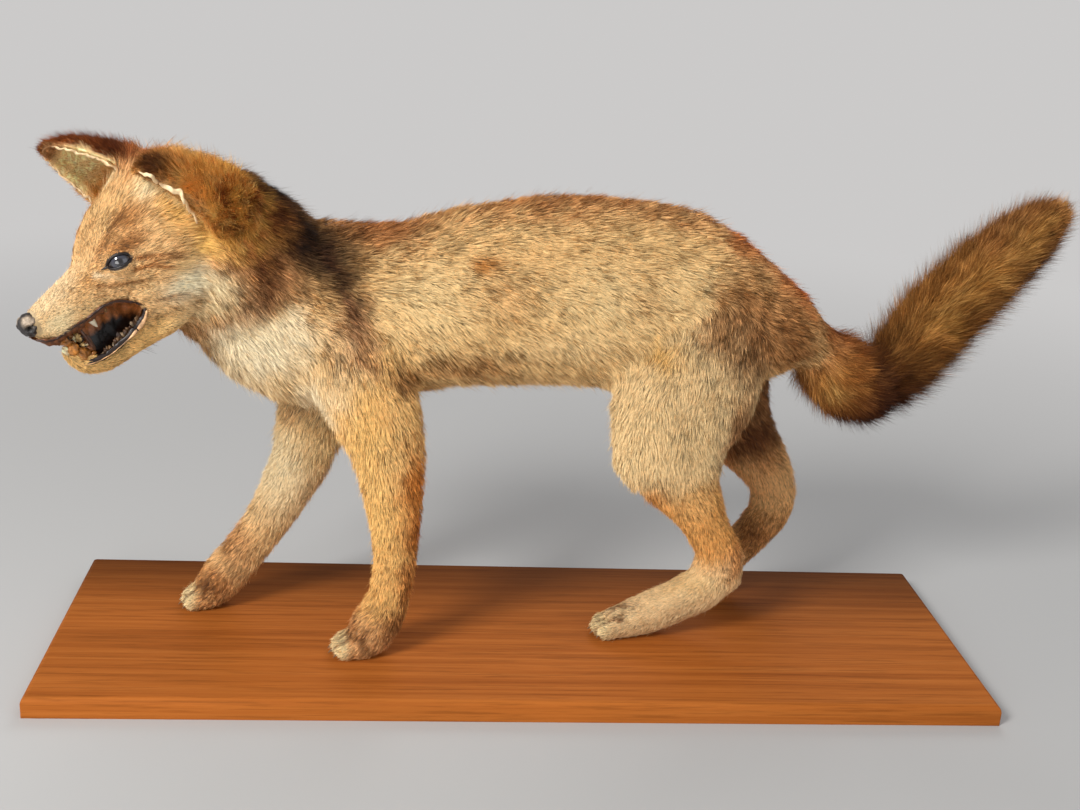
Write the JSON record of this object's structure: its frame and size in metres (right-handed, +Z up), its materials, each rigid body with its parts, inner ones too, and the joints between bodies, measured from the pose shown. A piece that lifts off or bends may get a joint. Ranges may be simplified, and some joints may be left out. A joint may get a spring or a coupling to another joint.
{
  "type": "taxidermy red fox",
  "caption": "Mounted red fox in a walking pose, head turned and mouth open, brush raised behind, on a flat wooden board.",
  "frame": {"origin": "centre of the base board's underside", "axes": "+Z up; -X is the way the fox walks; its left side faces -Y; +X is towards the brush"},
  "size_m": [0.8815, 0.256, 0.4412],
  "materials": {
    "board": "satin stained and varnished hardwood, rounded upper edge",
    "body_coat": "dense straw and tan fur, russet along the back",
    "throat_coat": "soft cream fur",
    "leg_coat": "short orange-tan fur",
    "foot_coat": "short brown fur with cream toes",
    "tail_coat": "long brown brush, paler at the tip",
    "ear_skin": "dry bare skin inside, russet fur behind",
    "dark_skin": "dry cracked black skin of nose, lips and mouth",
    "eye_glass": "polished dark glass, opaque",
    "tooth": "aged ivory teeth",
    "claw": "dark horn, paler at the tip"
  },
  "bodies": {
    "root": {"base_board": "board", "trunk": "body_coat", "neck": "body_coat", "head": "body_coat", "lower_jaw": "throat_coat", "nose": "dark_skin", "eye_left": "eye_glass", "eye_right": "eye_glass", "upper_teeth": "tooth", "lower_teeth": "tooth", "ear_left": "ear_skin", "ear_right": "ear_skin", "tail_root": "tail_coat", "tail_middle": "tail_coat", "tail_end": "tail_coat", "foreleg_left_upper": "body_coat", "foreleg_left_lower": "leg_coat", "foreleg_left_foot": "foot_coat", "foreleg_left_claw_1": "claw", "foreleg_left_claw_2": "claw", "foreleg_left_claw_3": "claw", "foreleg_left_claw_4": "claw", "foreleg_right_upper": "body_coat", "foreleg_right_lower": "leg_coat", "foreleg_right_foot": "foot_coat", "foreleg_right_claw_1": "claw", "foreleg_right_claw_2": "claw", "foreleg_right_claw_3": "claw", "foreleg_right_claw_4": "claw", "hind_leg_left_upper": "body_coat", "hind_leg_left_lower": "leg_coat", "hind_leg_left_foot": "foot_coat", "hind_leg_left_claw_1": "claw", "hind_leg_left_claw_2": "claw", "hind_leg_left_claw_3": "claw", "hind_leg_left_claw_4": "claw", "hind_leg_right_upper": "body_coat", "hind_leg_right_lower": "leg_coat", "hind_leg_right_foot": "foot_coat", "hind_leg_right_claw_1": "claw", "hind_leg_right_claw_2": "claw", "hind_leg_right_claw_3": "claw", "hind_leg_right_claw_4": "claw"}
  },
  "joints": []
}
